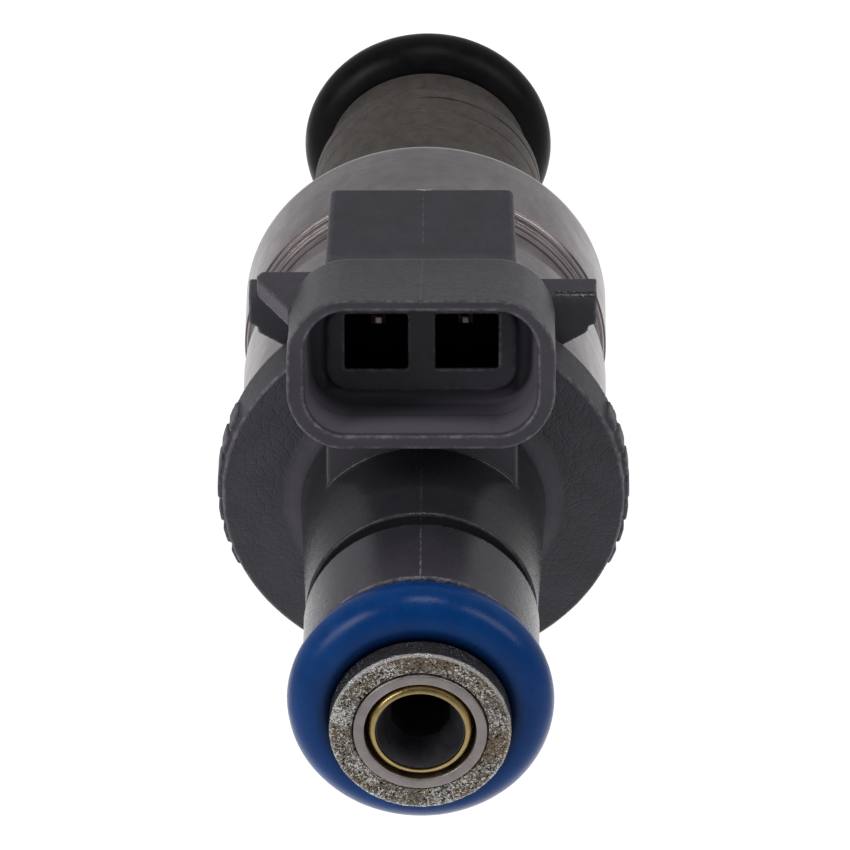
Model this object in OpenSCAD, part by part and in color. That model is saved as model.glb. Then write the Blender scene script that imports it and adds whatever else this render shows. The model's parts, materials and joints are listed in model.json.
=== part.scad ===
// Top-feed fuel injector: fuel inlet at the top, nozzle at the bottom.
// The origin is on the injector's axis, at the centre of the lower O-ring.

/* [O-rings] */
// Outer diameter of both O-rings
ring_od = 14.6; // [14.2:0.1:15]
// Thickness of the O-ring cord
ring_cord = 3.6; // [3.3:0.05:3.6]
// Height of the upper O-ring's centre above the lower one's
ring_pitch = 60.65; // [60.5:0.05:60.8]

/* [Connector] */
// Lean of the connector away from the injector's axis, in degrees
plug_lean = 18; // [15:1:20]
// Distance of the shroud's mouth from the axis
plug_out = 13; // [12.8:0.1:13.4]
// Height of the centre of the shroud's mouth
plug_up = 48; // [47.6:0.1:48.4]
// Outer width of the shroud
shroud_w = 14.8; // [14.4:0.1:15.2]
// Outer height of the shroud
shroud_h = 8.4; // [8.2:0.1:8.8]
// Length of the shroud
shroud_len = 10.6; // [10.4:0.1:10.8]
// Distance between the middles of the two terminals
terminal_pitch = 4.83; // [4.6:0.01:5]

/* [Body] */
// Outer radius of the upper case
upper_case_r = 10.35; // [10.2:0.05:10.5]
// Outer radius of the lower case
lower_case_r = 10.4; // [10.3:0.05:10.6]
// Outer radius of the moulded flange
flange_r = 11.4; // [11:0.1:11.8]
// Radius of the moulded collar below the upper O-ring
collar_r = 6.5; // [6.3:0.1:6.7]
// Radius of the raised parts of the valve body
valve_body_r = 6.7; // [6.5:0.05:6.8]

/* [Valve] */
// Travel of the needle between its seat and its stop
lift = 0.1; // [0.06:0.01:0.12]
// Radius of the valve ball
ball_r = 1.75; // [1.7:0.01:1.8]
// Running clearance of the armature in its sleeve
armature_gap = 0.07; // [0.05:0.01:0.1]
// Number of turns of the return spring
spring_turns = 8; // [6:1:9]

/* [Hidden] */
$fn = 96;

eps = 0.01;
cut = 1;                    // how far a cutting solid runs past the face it cuts
fit_gap = 0.02;             // clearance between two pieces that are pushed together
ring_r = ring_cord / 2;
ring_mid_r = ring_od / 2 - ring_r;
ring_seat_r = ring_mid_r - ring_r - fit_gap;

// Nozzle and valve body
tip_low = -5.2;
tip_high = -1.95;
tip_shoulder = -2.4;
tip_edge = 0.4;
tip_cap_r = 5.0;
tip_nose_r = 4.3;
tip_hole_r = 2.6;
snap_low = -3.8;
snap_high = -3.2;
snap_deep = 0.2;
snap_slope = 0.1;
body_low = -4.2;
groove_top = ring_r + 0.1;
nose_r = 5.95;
nose_top = 4.2;
nose_chamfer = 0.9;
body_top = 19.9;
seat_bore_r = 3.0;
seat_bore_top = 12;
armature_bore_r = 3.65;
break_r = 4.0;
break_low = 17;
break_top = 26.5;

// Valve: the ball rests on its cone, and the armature stops under the pole
ball_z = -0.4;
seat_fit = 0.03;
seat_low = -3.3;
seat_top = -1.2;
outlet_r = 0.5;
plate_t = 0.15;
guide_top = 0.4;
needle_r = 1.3;
needle_bore_r = 0.8;
needle_low = 0.5;
needle_top = 16;
armature_low = 13;
pole_low = 22.02;
armature_top = pole_low - lift - fit_gap;
armature_r = armature_bore_r - armature_gap;
spring_bore_r = 1.75;
spring_low = 19.5;
sleeve_low = 28.5;
sleeve_top = 34;
wire_r = 0.25;
spring_r = 1.2;

// Cases and coil
lower_case_low = 18.2;
lower_case_top = 24.4;
waist_r = 9.7;
waist_top = 26.8;
can_bore_r = 9.0;
can_top = 36.8;
bobbin_low = 20.2;
bobbin_top = 34.5;
bobbin_r = 8.9;
bobbin_wall = 1.0;
core_r = 4.9;
winding_r = 8.5;
washer_top = 35.6;

// Inlet tube and what is on it
tube_r = 3.65;
tube_bore_r = 3.05;
tube_low = 31.5;
tube_top = 64;
spigot_top = 36;
retainer_r = 4.97;
retainer_low = ring_pitch + ring_r + 0.05;
retainer_top = 63.9;
filter_low = 45;
foot_r = 2.4;
throat_low = 55;
funnel_top = 63.8;
brass_low = 56;
brass_bore_r = 2.7;
lip_top = 63.95;
lip_in = 2.47;
lip_out = 2.82;
lip_neck = lip_top - 1.4;   // where the brass sleeve starts to narrow
foot_t = 1;

// Moulded body
flange_top = 39.7;
collar_low = 53;
collar_top = 58.5;
neck_top = 51.8;
riser_w = 10.7;
riser_out = 12.5;
riser_low = 26.8;
web_w = 10.6;
web_top = 45.3;
web_out = 8.2;

// Shroud, in the connector's own frame: z out of the mouth, y towards the axis
wall_side = 0.95;
wall_in = 0.8;
wall_out = 0.65;
moat_deep = 6.6;
island_deep = 5.4;
island_w = 10.4;
pocket_deep = 10;
pocket_w = 3.5;
pocket_in = 0.9;
pocket_out = 2.2;
pocket_shift = 0.1;

// Wings on the riser's sides, and the latch ramp outside the left one
wing_half_w = 9.75;
wing_low = 34.1;
wing_high = 36;
wing_out = 10.95;
wing_in = 8.9;
ramp_low = 35.4;
ramp_flat = 36.4;
ramp_high = 39.5;
ramp_out = 12.2;
ramp_half_w = 9.3;

// Terminals
blade_w = 0.8;
blade_t = 0.6;
blade_out = 1.4;
blade_deep = 7.35;
blade_root = 11.4;
foot_out = 6.5;
foot_up = 37.75;

module at_plug() {
    translate([0, -plug_out, plug_up]) rotate([plug_lean, 0, 0]) children();
}

module ring(low, high, outer, inner) {
    difference() {
        translate([0, 0, low]) cylinder(h = high - low, r = outer);
        translate([0, 0, low - cut]) cylinder(h = high - low + 2 * cut, r = inner);
    }
}

module cord_ring(z) {
    translate([0, 0, z]) rotate_extrude() translate([ring_mid_r, 0]) circle(r = ring_r);
}

module soft_rect(w, h, r) {
    square([w - 2 * r, h], center = true);
    square([w, h - 2 * r], center = true);
    for (x = [-1, 1], y = [-1, 1])
        translate([x * (w / 2 - r), y * (h / 2 - r)]) circle(r = r);
}

// The cap's bead snaps into this groove of the valve body
function snap_groove(downwards) =
    let (floor_r = ring_seat_r - snap_deep,
         points = [[ring_seat_r, snap_low], [floor_r, snap_low + snap_slope],
                   [floor_r, snap_high - snap_slope], [ring_seat_r, snap_high]])
    downwards ? [for (i = [3 : -1 : 0]) points[i]] : points;

module tip_cap() {
    color("#26262a") rotate_extrude()
        polygon(concat([[tip_hole_r, tip_low], [tip_nose_r - tip_edge, tip_low],
                        [tip_nose_r, tip_low + tip_edge], [tip_nose_r, snap_high],
                        [tip_cap_r, tip_shoulder], [tip_cap_r, tip_high],
                        [ring_seat_r, tip_high]],
                       snap_groove(true),
                       [[ring_seat_r, body_low], [tip_hole_r, body_low]]));
}

module lower_o_ring() {
    color("#141416") cord_ring(0);
}

module valve_body() {
    edge = 0.3;
    color("#5f5a55") rotate_extrude()
        polygon(concat([[seat_bore_r, body_low], [ring_seat_r, body_low]],
                       snap_groove(false),
                       [[ring_seat_r, groove_top], [nose_r - edge, groove_top],
                        [nose_r, groove_top + edge], [nose_r, nose_top],
                        [valve_body_r, nose_top + nose_chamfer],
                        [valve_body_r, body_top], [break_r, body_top],
                        [break_r, break_low], [armature_bore_r, break_low],
                        [armature_bore_r, seat_bore_top], [seat_bore_r, seat_bore_top]]));
}

module valve_seat() {
    // The ball touches the cone on a circle, 45 degrees round from its lowest point
    touch_r = ball_r * sin(45);
    touch_z = ball_z - touch_r - seat_fit;
    color("#b9bcc0") rotate_extrude()
        polygon([[outlet_r, seat_low], [seat_bore_r, seat_low],
                 [seat_bore_r, seat_top],
                 [touch_r + seat_top - touch_z, seat_top],
                 [outlet_r, touch_z - (touch_r - outlet_r)]]);
}

module director_plate() {
    hole_r = 0.1;
    hole_out = 0.28;
    color("#c9c6bd") difference() {
        translate([0, 0, seat_low - plate_t]) cylinder(h = plate_t, r = seat_bore_r);
        for (a = [45 : 90 : 315])
            rotate([0, 0, a]) translate([hole_out, 0, seat_low - plate_t - cut])
                cylinder(h = plate_t + 2 * cut, r = hole_r, $fn = 24);
    }
}

module seat_retainer() {
    retainer_bore_r = 1.9;
    recess = 0.1;
    color("#8f9194") ring(body_low + recess, seat_low - plate_t, seat_bore_r, retainer_bore_r);
}

module ball_guide() {
    guide_gap = 0.04;
    slot_w = 1;
    slot_out = 2.3;
    color("#a9acb0") difference() {
        ring(seat_top, guide_top, seat_bore_r, ball_r + guide_gap);
        for (a = [0 : 90 : 270])
            rotate([0, 0, a]) translate([0, -slot_w / 2, seat_top - cut])
                cube([slot_out, slot_w, 2 * cut + guide_top - seat_top]);
    }
}

module valve_ball() {
    color("#d5d8dc") translate([0, 0, ball_z]) sphere(r = ball_r);
}

module needle_tube() {
    port_r = 0.5;
    color("#b4b7ba") difference() {
        ring(needle_low, needle_top, needle_r, needle_bore_r);
        translate([0, 0, ball_z]) sphere(r = ball_r);
        for (z = [3, 6])
            translate([0, needle_r + cut, z]) rotate([90, 0, 0])
                cylinder(h = 2 * needle_r + 2 * cut, r = port_r, $fn = 24);
    }
}

module armature() {
    edge = 0.3;
    fuel_bore_r = 1;
    color("#9a9da1") rotate_extrude()
        polygon([[needle_r, armature_low], [armature_r - edge, armature_low],
                 [armature_r, armature_low + edge], [armature_r, armature_top],
                 [spring_bore_r, armature_top], [spring_bore_r, spring_low],
                 [fuel_bore_r, spring_low], [fuel_bore_r, needle_top],
                 [needle_r, needle_top]]);
}

module return_spring() {
    sides = 8;
    per_turn = 20;
    rings = spring_turns * per_turn;
    low = spring_low + wire_r + eps;
    rise = sleeve_low - wire_r - 2 * eps - low;
    function mid(i) = [spring_r * cos(360 * i / per_turn),
                       spring_r * sin(360 * i / per_turn), low + rise * i / rings];
    points = [for (i = [0 : rings], k = [0 : sides - 1])
        let (turn = 360 * i / per_turn, side = 360 * k / sides,
             out = wire_r * cos(side))
        mid(i) + [out * cos(turn), out * sin(turn), wire_r * sin(side)]];
    skin = [for (i = [0 : rings - 1], k = [0 : sides - 1])
        let (next = (k + 1) % sides, at = i * sides)
        [at + k, at + sides + k, at + sides + next, at + next]];
    first = [for (k = [0 : sides - 1]) k];
    last = [for (k = [sides - 1 : -1 : 0]) rings * sides + k];
    color("#c2c5c8") polyhedron(points, concat(skin, [first], [last]));
}

module adjusting_sleeve() {
    slit = 0.3;
    sleeve_bore_r = 1.15;
    color("#b08a4a") difference() {
        ring(sleeve_low, sleeve_top, spring_bore_r, sleeve_bore_r);
        translate([0, -slit / 2, sleeve_low - cut])
            cube([spring_bore_r + cut, slit, sleeve_top - sleeve_low + 2 * cut]);
    }
}

module pole_core() {
    color("#a4a7ab") {
        ring(pole_low, tube_low, tube_r, spring_bore_r);
        ring(tube_low, spigot_top, tube_bore_r, spring_bore_r);
    }
}

module magnetic_break() {
    color("#cfd1d4") ring(break_low, break_top, break_r, armature_bore_r);
}

module lower_case() {
    floor_t = body_top - lower_case_low;
    edge_r = 0.9;
    // The rolled edge steps in towards the waist of the upper case
    roll_low = lower_case_top - 1.1;
    roll_in = 0.16;
    roll_up = 0.3;
    tread = 0.6;
    tread_up = 0.05;
    roll = [for (i = [0 : 3])
        each [[lower_case_r - roll_in * i, roll_low + roll_up * i],
              [lower_case_r - roll_in * (i + tread), roll_low + roll_up * i + tread_up]]];
    round_edge = [for (a = [-90 : 15 : 0])
        [lower_case_r - edge_r + edge_r * cos(a), lower_case_low + edge_r + edge_r * sin(a)]];
    color("#a39d9a") rotate_extrude()
        polygon(concat([[valve_body_r, lower_case_low]], round_edge, roll,
                       [[waist_r, lower_case_top], [waist_r, lower_case_low + floor_t],
                        [valve_body_r, lower_case_low + floor_t]]));
}

module upper_case() {
    step = 0.25;
    color("#a39d9a") rotate_extrude()
        polygon([[can_bore_r, body_top], [waist_r, body_top], [waist_r, waist_top],
                 [upper_case_r - step, waist_top], [upper_case_r, waist_top + step],
                 [upper_case_r, can_top], [can_bore_r, can_top]]);
}

module coil_bobbin() {
    slot_r = 0.6;
    bobbin_gap = 0.05;
    bore_r = break_r + bobbin_gap;
    color("#2f4a3a") difference() {
        union() {
            ring(bobbin_low, bobbin_top, core_r, bore_r);
            ring(bobbin_low, bobbin_low + bobbin_wall, bobbin_r, bore_r);
            ring(bobbin_top - bobbin_wall, bobbin_top, bobbin_r, bore_r);
        }
        for (x = [-1, 1])
            translate([x * terminal_pitch / 2, -foot_out, bobbin_top - bobbin_wall - cut / 2])
                cylinder(h = bobbin_wall + cut, r = slot_r);
    }
}

module coil_winding() {
    color("#b5562b") ring(bobbin_low + bobbin_wall, bobbin_top - bobbin_wall,
                          winding_r, core_r);
}

module coil_leads() {
    lead_r = 0.25;
    color("#c8683a") for (x = [-1, 1])
        translate([x * terminal_pitch / 2, -foot_out, bobbin_top - bobbin_wall])
            cylinder(h = bobbin_wall, r = lead_r);
}

module flux_washer() {
    notch_margin = 1;
    notch_w = terminal_pitch + 3 * notch_margin;
    notch_in = foot_out - notch_margin;
    color("#8b8e92") difference() {
        ring(bobbin_top, washer_top, can_bore_r - fit_gap, tube_r + fit_gap);
        translate([-notch_w / 2, -can_bore_r - cut, bobbin_top - cut])
            cube([notch_w, can_bore_r + cut - notch_in, washer_top - bobbin_top + 2 * cut]);
    }
}

module terminal(side) {
    x = side * terminal_pitch / 2 - blade_w / 2;
    tip = 0.5;
    bend_out = plug_out - blade_root * sin(plug_lean) + blade_out * cos(plug_lean);
    at_plug() translate([x, -blade_out - blade_t / 2, 0]) union() {
        translate([0, 0, -blade_root])
            cube([blade_w, blade_t, blade_root - blade_deep - tip]);
        translate([blade_w / 4, blade_t / 4, -blade_deep - tip - eps])
            cube([blade_w / 2, blade_t / 2, tip]);
    }
    translate([x, -bend_out, foot_up - blade_t / 2])
        cube([blade_w, bend_out - foot_out + blade_t / 2, blade_t]);
    translate([x, -foot_out - blade_t / 2, bobbin_top])
        cube([blade_w, blade_t, foot_up - bobbin_top]);
}

module terminal_left() {
    color("#d9b45a") terminal(1);
}

module terminal_right() {
    color("#d9b45a") terminal(-1);
}

module shroud() {
    corner_r = 3.1;
    at_plug() translate([0, 0, -shroud_len]) linear_extrude(shroud_len)
        soft_rect(shroud_w, shroud_h, corner_r);
}

module wings() {
    // Each wing narrows to a gusset on its inner edge
    edge = 0.4;
    gusset_mid = 1.5;
    gusset_in = 2.6;
    overlap = 1;
    root = riser_w / 2 - overlap;
    half = [[root, -wing_out], [wing_half_w, -wing_out],
            [wing_half_w, -wing_in - edge / 2], [wing_half_w - edge, -wing_in + edge],
            [shroud_w / 2, -wing_in + gusset_mid], [root, -wing_in + gusset_in]];
    translate([0, 0, wing_low]) linear_extrude(wing_high - wing_low) {
        polygon(half);
        mirror([1, 0]) polygon(half);
    }
}

module latch_ramp() {
    // A ramp on one side lets the mating plug's latch snap over
    edge = 0.3;
    overlap = 1;
    inset = 0.2;
    root = riser_w / 2 - overlap;
    translate([0, -wing_out, 0]) rotate([90, 0, 0]) linear_extrude(ramp_out - wing_out)
        polygon([[root, ramp_low], [ramp_half_w - edge, ramp_low],
                 [ramp_half_w, ramp_low + 2 * edge], [ramp_half_w, ramp_flat],
                 [shroud_w / 2 - inset, ramp_high], [root, ramp_high]]);
}

module cavity() {
    inner_w = shroud_w - 2 * wall_side;
    inner_h = shroud_h - wall_in - wall_out;
    shift = (wall_out - wall_in) / 2;
    mouth_corner_r = 2;
    island_in = 2.3;
    island_out = 2.7;
    island_corner_r = 1.1;
    at_plug() translate([0, shift, 0]) {
        difference() {
            translate([0, 0, -moat_deep]) linear_extrude(moat_deep + cut)
                soft_rect(inner_w, inner_h, mouth_corner_r);
            translate([0, (island_in - island_out) / 2, -moat_deep - cut])
                linear_extrude(moat_deep + cut - island_deep)
                    soft_rect(island_w, island_in + island_out, island_corner_r);
        }
    }
    at_plug() for (x = [-1, 1])
        translate([x * (terminal_pitch / 2 + pocket_shift) - pocket_w / 2, -pocket_out,
                   -pocket_deep])
            cube([pocket_w, pocket_out + pocket_in, pocket_deep]);
}

module riser() {
    edge = 0.5;
    riser_in = 6;
    deep = riser_out - riser_in;
    translate([0, -riser_out + deep / 2, riser_low])
        linear_extrude(flange_top - riser_low) soft_rect(riser_w, deep, edge);
}

module web() {
    edge = 0.4;
    translate([0, -web_out / 2, flange_top - cut]) linear_extrude(web_top - flange_top + cut)
        soft_rect(web_w, web_out, edge);
}

module rim_pads() {
    // Plain raised pads on both sides of the flange's rim
    pad_w = 1.1;
    pad_pitch = 7.5;
    proud = 0.2;
    margin = 0.6;
    root = 1;
    for (side = [0, 180], i = [-3 : 3])
        rotate([0, 0, side + i * pad_pitch])
            translate([flange_r - root, -pad_w / 2, can_top + margin])
                cube([root + proud, pad_w, flange_top - can_top - 2 * margin]);
}

module round_body() {
    // Plug in the can, flange, flared neck, groove and collar, as one turned outline
    flare_r = 1.4;
    neck_low_r = 6.85;
    draft = 0.1;
    neck_edge_r = collar_r - draft;
    plug_r = can_bore_r - fit_gap;
    rim_r = flange_r - draft;
    groove_r = 5.6;
    edge = 0.3;
    flare = [for (a = [0 : 15 : 90])
        [neck_low_r + flare_r * (1 - sin(a)), flange_top + flare_r * (1 - cos(a))]];
    rotate_extrude()
        polygon(concat(
            [[tube_r, washer_top], [plug_r, washer_top], [plug_r, can_top],
             [flange_r - edge, can_top], [flange_r, can_top + edge],
             [rim_r, flange_top - edge], [rim_r - edge, flange_top]],
            flare,
            [[neck_edge_r, neck_top], [groove_r, neck_top], [groove_r, collar_low],
             [collar_r - edge, collar_low], [collar_r, collar_low + edge],
             [collar_r, collar_top - edge], [collar_r - edge, collar_top],
             [tube_r, collar_top]]));
}

module overmold() {
    color("#4a494d") difference() {
        union() {
            round_body();
            difference() {
                union() {
                    riser();
                    web();
                    shroud();
                    wings();
                    latch_ramp();
                }
                translate([0, 0, riser_low - cut])
                    cylinder(h = can_top - riser_low + cut, r = upper_case_r);
                translate([0, 0, riser_low - cut])
                    cylinder(h = ring_pitch, r = tube_r);
            }
            rim_pads();
        }
        cavity();
        terminal(1);
        terminal(-1);
    }
}

module inlet_tube() {
    lip = 0.15;
    color("#b7b2ad") rotate_extrude()
        polygon([[tube_bore_r, tube_low], [tube_r, tube_low], [tube_r, tube_top - lip],
                 [tube_r - lip, tube_top], [tube_bore_r + lip, tube_top],
                 [tube_bore_r, tube_top - lip]]);
}

module upper_o_ring() {
    color("#123a7c") cord_ring(ring_pitch);
}

module retainer_ring() {
    edge = 0.15;
    bore_r = tube_r + fit_gap;
    lip = 0.1;
    color("#8d8880") rotate_extrude()
        polygon([[bore_r, retainer_low], [retainer_r, retainer_low],
                 [retainer_r, retainer_top - edge], [retainer_r - edge, retainer_top],
                 [bore_r + lip, retainer_top], [bore_r, retainer_top - lip]]);
}

module filter_collar() {
    // The sleeve narrows at its mouth, where it is rolled inwards to a rounded lip
    roll_r = lip_out - lip_in;
    roll = [for (a = [0 : 15 : 90])
        [lip_in + roll_r * cos(a), lip_top - roll_r + roll_r * sin(a)]];
    color("#c9a24a") rotate_extrude()
        polygon(concat(
            [[brass_bore_r, brass_low], [tube_bore_r, brass_low], [tube_bore_r, lip_neck]],
            roll,
            [[lip_in, lip_top - roll_r], [brass_bore_r, lip_neck]]));
}

module filter_frame() {
    throat_r = 1.68;
    rim_t = 0.1;
    taper = 1.9;
    rib_w = 0.7;
    rib_in = 2.1;
    foot_bore_r = 0.6;
    color("#1d1d20") {
        rotate_extrude()
            polygon([[throat_r, throat_low], [brass_bore_r - rim_t, throat_low],
                     [brass_bore_r, brass_low], [brass_bore_r, lip_neck],
                     [lip_in, lip_top - lip_out + lip_in], [lip_in, funnel_top],
                     [lip_in - rim_t, funnel_top], [throat_r, funnel_top - taper]]);
        ring(filter_low, filter_low + foot_t, foot_r, foot_bore_r);
        for (a = [0 : 120 : 240])
            rotate([0, 0, a]) translate([rib_in, -rib_w / 2, filter_low + foot_t / 2])
                cube([foot_r - rib_in, rib_w, throat_low - filter_low]);
    }
}

module filter_mesh() {
    cloth_t = 0.1;
    cloth_r = 2.1;
    color("#b9b7ae") ring(filter_low + foot_t, throat_low, cloth_r, cloth_r - cloth_t);
}

tip_cap();
lower_o_ring();
valve_body();
valve_seat();
director_plate();
seat_retainer();
ball_guide();
valve_ball();
needle_tube();
armature();
return_spring();
adjusting_sleeve();
pole_core();
magnetic_break();
lower_case();
upper_case();
coil_bobbin();
coil_winding();
coil_leads();
flux_washer();
overmold();
terminal_left();
terminal_right();
inlet_tube();
upper_o_ring();
retainer_ring();
filter_collar();
filter_frame();
filter_mesh();
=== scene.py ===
"""Top-feed fuel injector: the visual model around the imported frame.

Shapes are worked out in millimetres and written in metres. The moulded body is
one skin drawn from a distance function, so that its fillets and soft edges run
into each other as they do on a moulding. The round pieces are turned outlines.
"""
import json
import math

import bmesh
import bpy
import numpy as np
from mathutils import Matrix, Vector, noise


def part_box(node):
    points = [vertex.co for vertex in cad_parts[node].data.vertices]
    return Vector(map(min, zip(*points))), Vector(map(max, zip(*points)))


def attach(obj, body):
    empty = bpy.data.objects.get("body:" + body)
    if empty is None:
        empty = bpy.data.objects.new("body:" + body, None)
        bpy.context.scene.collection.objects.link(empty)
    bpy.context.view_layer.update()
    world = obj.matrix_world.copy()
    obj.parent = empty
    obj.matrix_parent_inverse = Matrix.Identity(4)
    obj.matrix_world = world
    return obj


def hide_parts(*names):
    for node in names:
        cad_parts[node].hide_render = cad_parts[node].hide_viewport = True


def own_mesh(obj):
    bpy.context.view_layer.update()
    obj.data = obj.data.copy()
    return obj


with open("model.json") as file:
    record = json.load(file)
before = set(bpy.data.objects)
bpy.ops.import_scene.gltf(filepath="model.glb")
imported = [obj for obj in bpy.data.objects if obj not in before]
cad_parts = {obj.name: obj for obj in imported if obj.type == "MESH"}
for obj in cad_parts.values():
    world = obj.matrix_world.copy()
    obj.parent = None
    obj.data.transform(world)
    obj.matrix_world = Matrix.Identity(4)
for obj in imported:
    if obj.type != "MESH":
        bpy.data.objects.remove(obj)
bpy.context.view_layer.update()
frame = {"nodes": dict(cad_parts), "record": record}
nodes = frame["nodes"]
MM = 0.001


# ---------------------------------------------------------------- places from the frame

def low_mm(node):
    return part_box(node)[0] / MM


def high_mm(node):
    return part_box(node)[1] / MM


RING_R = (high_mm("lower_o_ring").z - low_mm("lower_o_ring").z) / 2
RING_MID_R = high_mm("lower_o_ring").x - RING_R
UPPER_RING_Z = (high_mm("upper_o_ring").z + low_mm("upper_o_ring").z) / 2
CASE_TOP = high_mm("upper_case").z
UPPER_CASE_R = high_mm("upper_case").x
LOWER_CASE_R = high_mm("lower_case").x
LOWER_CASE_LOW = low_mm("lower_case").z
LOWER_CASE_TOP = high_mm("lower_case").z
CAN_LOW = low_mm("upper_case").z
COLLAR_TOP = high_mm("overmold").z
RISER_LOW = low_mm("overmold").z
WASHER_TOP = high_mm("flux_washer").z
TUBE_R = high_mm("inlet_tube").x
TUBE_LOW = low_mm("inlet_tube").z
TUBE_TOP = high_mm("inlet_tube").z
RETAINER_R = high_mm("retainer_ring").x
RETAINER_LOW = low_mm("retainer_ring").z
RETAINER_TOP = high_mm("retainer_ring").z
VALVE_BODY_R = high_mm("valve_body").x
VALVE_BODY_LOW = low_mm("valve_body").z
VALVE_BODY_TOP = high_mm("valve_body").z
TIP_LOW = low_mm("tip_cap").z
TIP_TOP = high_mm("tip_cap").z
TIP_R = high_mm("tip_cap").x
BRASS_LOW = low_mm("filter_collar").z
BRASS_TOP = high_mm("filter_collar").z
FILTER_TOP = high_mm("filter_frame").z
TERMINAL_X = (high_mm("terminal_left").x + low_mm("terminal_left").x) / 2
TERMINAL_W = high_mm("terminal_left").x - low_mm("terminal_left").x

# Sizes that no node's box gives
CAN_BORE_R = 9.0
WAIST_R = 9.7
WAIST_TOP = 26.8
TUBE_BORE_R = 3.05
FLANGE_R = 11.4
FLANGE_TOP = 39.7
COLLAR_R = 6.5
COLLAR_LOW = 53.0
NECK_TOP = 51.8
NECK_LOW_R = 6.85
GROOVE_R = 5.6
RISER_OUT = 12.5
WEB_TOP = 45.3
PLUG_LEAN = math.radians(18)
PLUG_OUT = 13.0
PLUG_UP = 48.0
SHROUD_W = 14.8
SHROUD_H = 8.4
SHROUD_LEN = 10.6
LUG_LOW = 36.4
WING_LOW = 34.06
WING_HIGH = 36.0
WING_OUT = -10.93
WING_IN = -8.87
MIDDLE = Vector((0, 0, 0.03))


# ---------------------------------------------------------------- camera

def make_camera():
    """A long lens 625 mm away, looking along the injector from above its inlet."""
    tilt = 0.5494          # between the view and the injector's axis
    roll = 0.0135
    spin = math.radians(1)
    away = Vector((0.1873, -16.7156, 624.99)) * MM
    focal = 10506.9 / 850  # in picture widths
    c, s = math.cos(tilt), math.sin(tilt)
    face = Matrix(((-1, 0, 0), (0, c, s), (0, s, -c)))
    turn = Matrix.Rotation(roll, 3, "Z") @ face @ Matrix.Rotation(spin, 3, "Z")
    place = -(turn.transposed() @ away)
    axes = Matrix((turn[0], -turn[1], -turn[2])).transposed()
    data = bpy.data.cameras.new("camera")
    data.sensor_width = 36
    data.lens = data.sensor_width * focal
    data.clip_start = 0.01
    camera = bpy.data.objects.new("camera", data)
    camera.matrix_world = Matrix.Translation(place) @ axes.to_4x4()
    bpy.context.scene.collection.objects.link(camera)
    bpy.context.scene.camera = camera
    return camera


# ---------------------------------------------------------------- material building

class Paint:
    """A Principled material and short calls for the nodes that feed it."""

    def __init__(self, name):
        self.mat = bpy.data.materials.new(name)
        self.mat.use_nodes = True
        self.tree = self.mat.node_tree
        self.bsdf = self.tree.nodes["Principled BSDF"]
        coord = self.add("ShaderNodeTexCoord")
        self.here = self.add("ShaderNodeVectorMath", operation="SCALE")
        self.join(coord.outputs["Object"], self.here.inputs[0])
        self.here.inputs["Scale"].default_value = 1 / MM
        self.here = self.here.outputs[0]
        self.normal = coord.outputs["Normal"]

    def add(self, kind, **settings):
        node = self.tree.nodes.new(kind)
        for key, value in settings.items():
            setattr(node, key, value)
        return node

    def join(self, out, socket):
        if isinstance(out, (int, float)):
            socket.default_value = out
        elif isinstance(out, tuple):
            socket.default_value = (*out, 1)[: len(socket.default_value)]
        else:
            self.tree.links.new(out, socket)

    def set(self, **values):
        for key, value in values.items():
            self.join(value, self.bsdf.inputs[key.replace("_", " ")])

    def math(self, operation, a, b=0.0, c=0.0, clamp=False):
        node = self.add("ShaderNodeMath", operation=operation, use_clamp=clamp)
        for socket, value in zip(node.inputs, (a, b, c)):
            self.join(value, socket)
        return node.outputs[0]

    def split(self, vector):
        node = self.add("ShaderNodeSeparateXYZ")
        self.join(vector, node.inputs[0])
        return node.outputs

    def vector(self, x, y, z):
        node = self.add("ShaderNodeCombineXYZ")
        for socket, value in zip(node.inputs, (x, y, z)):
            self.join(value, socket)
        return node.outputs[0]

    def noise(self, scale, detail=2.0, rough=0.5, at=None, twist=0.0):
        node = self.add("ShaderNodeTexNoise")
        self.join(self.here if at is None else at, node.inputs["Vector"])
        node.inputs["Scale"].default_value = scale
        node.inputs["Detail"].default_value = detail
        node.inputs["Roughness"].default_value = rough
        node.inputs["Distortion"].default_value = twist
        return node.outputs["Fac"]

    def cells(self, scale, feature="F1", at=None):
        node = self.add("ShaderNodeTexVoronoi", feature=feature)
        self.join(self.here if at is None else at, node.inputs["Vector"])
        node.inputs["Scale"].default_value = scale
        return node.outputs["Distance"]

    def ramp(self, value, low, high, start=0.0, end=1.0, smooth=True):
        """value from low..high, mapped to start..end."""
        node = self.add("ShaderNodeMapRange")
        node.interpolation_type = "SMOOTHSTEP" if smooth else "LINEAR"
        for key, item in zip(("Value", "From Min", "From Max", "To Min", "To Max"),
                             (value, low, high, start, end)):
            self.join(item, node.inputs[key])
        return node.outputs["Result"]

    def mix(self, share, a, b):
        node = self.add("ShaderNodeMix", data_type="RGBA")
        self.join(share, node.inputs["Factor"])
        self.join(a, node.inputs["A"])
        self.join(b, node.inputs["B"])
        return node.outputs["Result"]

    def bump(self, height, distance, strength=1.0, under=None):
        """Height in 0..1 stands distance mm proud."""
        node = self.add("ShaderNodeBump")
        node.inputs["Strength"].default_value = strength
        node.inputs["Distance"].default_value = distance * MM
        self.join(height, node.inputs["Height"])
        if under is not None:
            self.join(under, node.inputs["Normal"])
        return node.outputs["Normal"]

    def attribute(self, name):
        node = self.add("ShaderNodeAttribute", attribute_name=name)
        return node.outputs["Fac"]

    def around(self, stretch):
        """Coordinates that run round the axis: the angle is stretched, so marks lie in rings."""
        x, y, z = self.split(self.here)
        turn = self.math("ARCTAN2", y, x)
        out = self.math("SQRT", self.math("ADD", self.math("MULTIPLY", x, x),
                                          self.math("MULTIPLY", y, y)))
        return self.vector(self.math("MULTIPLY", turn, stretch), out, z)


def scaled(colour, factor):
    return tuple(c * factor for c in colour)


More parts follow.
